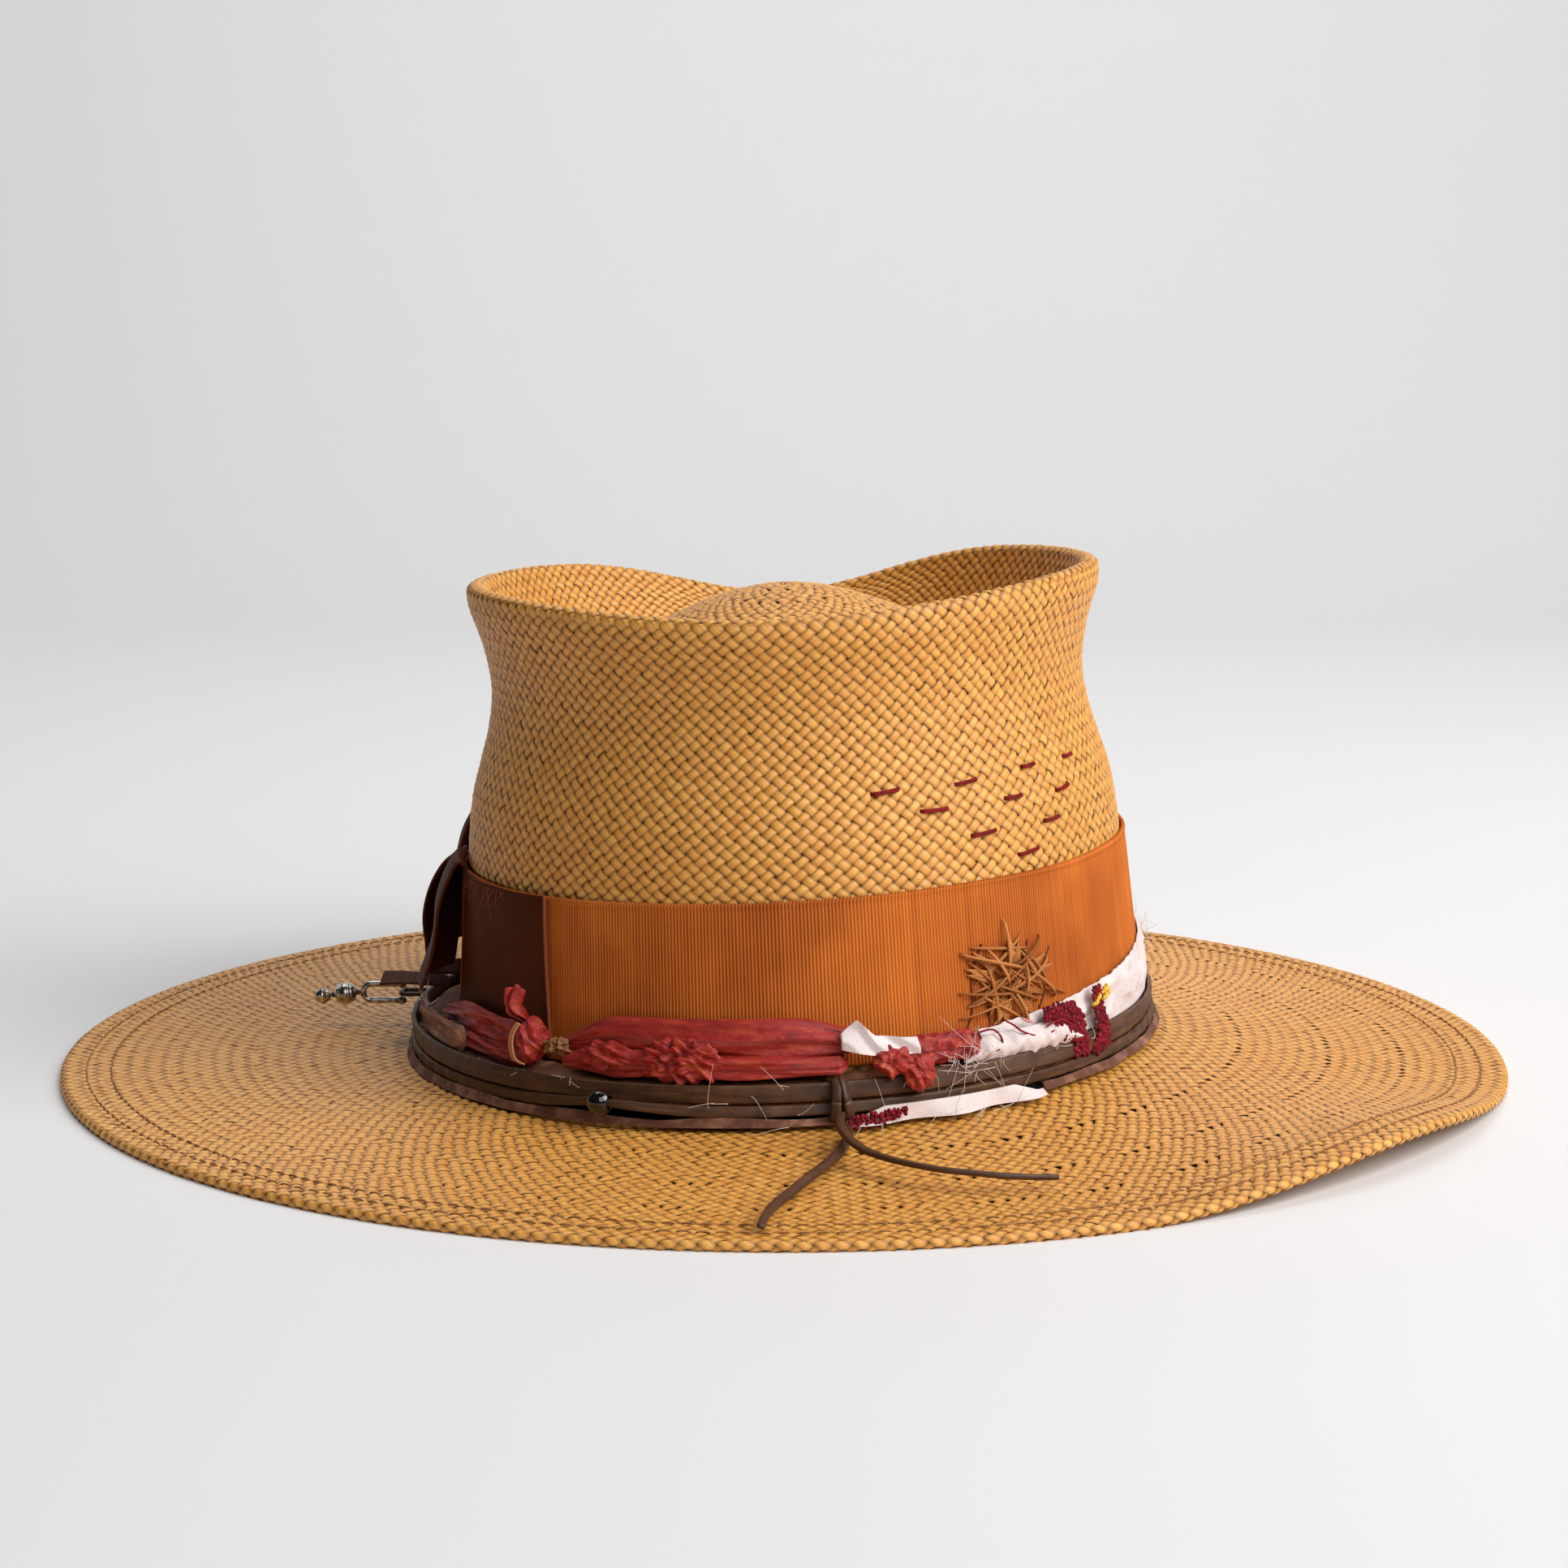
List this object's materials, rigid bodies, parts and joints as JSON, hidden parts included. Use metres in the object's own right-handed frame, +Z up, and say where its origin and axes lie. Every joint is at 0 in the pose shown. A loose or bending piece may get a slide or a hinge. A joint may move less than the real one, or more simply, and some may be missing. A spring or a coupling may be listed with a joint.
{
  "type": "woven straw hat",
  "caption": "Woven straw hat with a flat brim, pinched telescope crown, ribbon with a bow, wrapped cloth, tied laces, bead and charms.",
  "frame": {"origin": "on the ground, under the middle of the brim", "axes": "+Z up through the crown, +Y along the long axis of the head oval, -X the side with the bow"},
  "size_m": [0.366, 0.386, 0.1277],
  "materials": {
    "straw": "plain weave of slanting glossy straw strands",
    "straw_thread": "matt thread",
    "sweatband_leather": "soft grained leather",
    "reed_plastic": "matt",
    "bow_satin": "satin",
    "grosgrain": "ribbed grosgrain ribbon",
    "grosgrain_bow": "ribbed grosgrain ribbon",
    "crimson_silk": "crumpled silk with a soft sheen",
    "white_cloth": "thin cotton, frayed",
    "tan_cloth": "thin cloth, frayed",
    "lace_leather": "flat leather lace, matt",
    "red_thread": "embroidery thread",
    "rust_thread": "embroidery thread",
    "black_bead": "polished",
    "silver": "worn silver"
  },
  "bodies": {
    "hat": {"straw_body": "straw", "brim_stitching_outer": "straw_thread", "brim_stitching_inner": "straw_thread", "sweatband": "sweatband_leather", "sweatband_reed": "reed_plastic", "sweatband_bow": "bow_satin", "ribbon_band": "grosgrain", "ribbon_overlap": "grosgrain_bow", "bow_front_loop": "grosgrain_bow", "bow_back_loop": "grosgrain_bow", "bow_centre_knot": "grosgrain_bow", "bow_tail": "grosgrain_bow", "lace_upper": "lace_leather", "lace_middle": "lace_leather", "tan_cloth_wrap": "tan_cloth", "tan_cloth_fold": "tan_cloth", "rose_strip": "tan_cloth", "white_cloth_lower": "white_cloth", "silk_wrap_left": "crimson_silk", "silk_wrap_right": "crimson_silk", "silk_end": "crimson_silk", "silk_knot_left": "crimson_silk", "silk_knot_right": "crimson_silk", "silk_tuft": "crimson_silk", "white_cloth_band": "white_cloth", "white_cloth_scrap": "white_cloth", "scroll_embroidery_large": "red_thread", "scroll_embroidery_small": "red_thread", "scroll_embroidery_lower": "red_thread", "tie_knot": "lace_leather", "tie_tail_right": "lace_leather", "tie_tail_left": "lace_leather", "red_stitch_01": "red_thread", "red_stitch_02": "red_thread", "red_stitch_03": "red_thread", "red_stitch_04": "red_thread", "red_stitch_05": "red_thread", "red_stitch_06": "red_thread", "red_stitch_07": "red_thread", "red_stitch_08": "red_thread", "red_stitch_09": "red_thread", "red_stitch_10": "red_thread", "star_embroidery": "rust_thread", "charm_hanger": "lace_leather"},
    "bead": {"lace_bead": "black_bead"},
    "charm": {"charm_pin": "silver", "charm_cord": "lace_leather", "charm_end_bead": "silver"},
    "charm_bead": {"charm_bead": "silver"}
  },
  "joints": [
    {"name": "bead_spin", "type": "hinge", "parent": "hat", "child": "bead", "pos_m": [-0.04188, -0.10506, 0.01027], "axis": [0.8765, -0.4799, 0.0383], "continuous": true},
    {"name": "charm_swing", "type": "hinge", "parent": "hat", "child": "charm", "pos_m": [-0.10096, 0.018, 0.01083], "axis": [0, 1, 0], "range_deg": [0, 50]},
    {"name": "charm_bead_spin", "type": "hinge", "parent": "charm", "child": "charm_bead", "pos_m": [-0.11586, 0.018, 0.01043], "axis": [-0.9939, 0, -0.1104], "continuous": true}
  ]
}
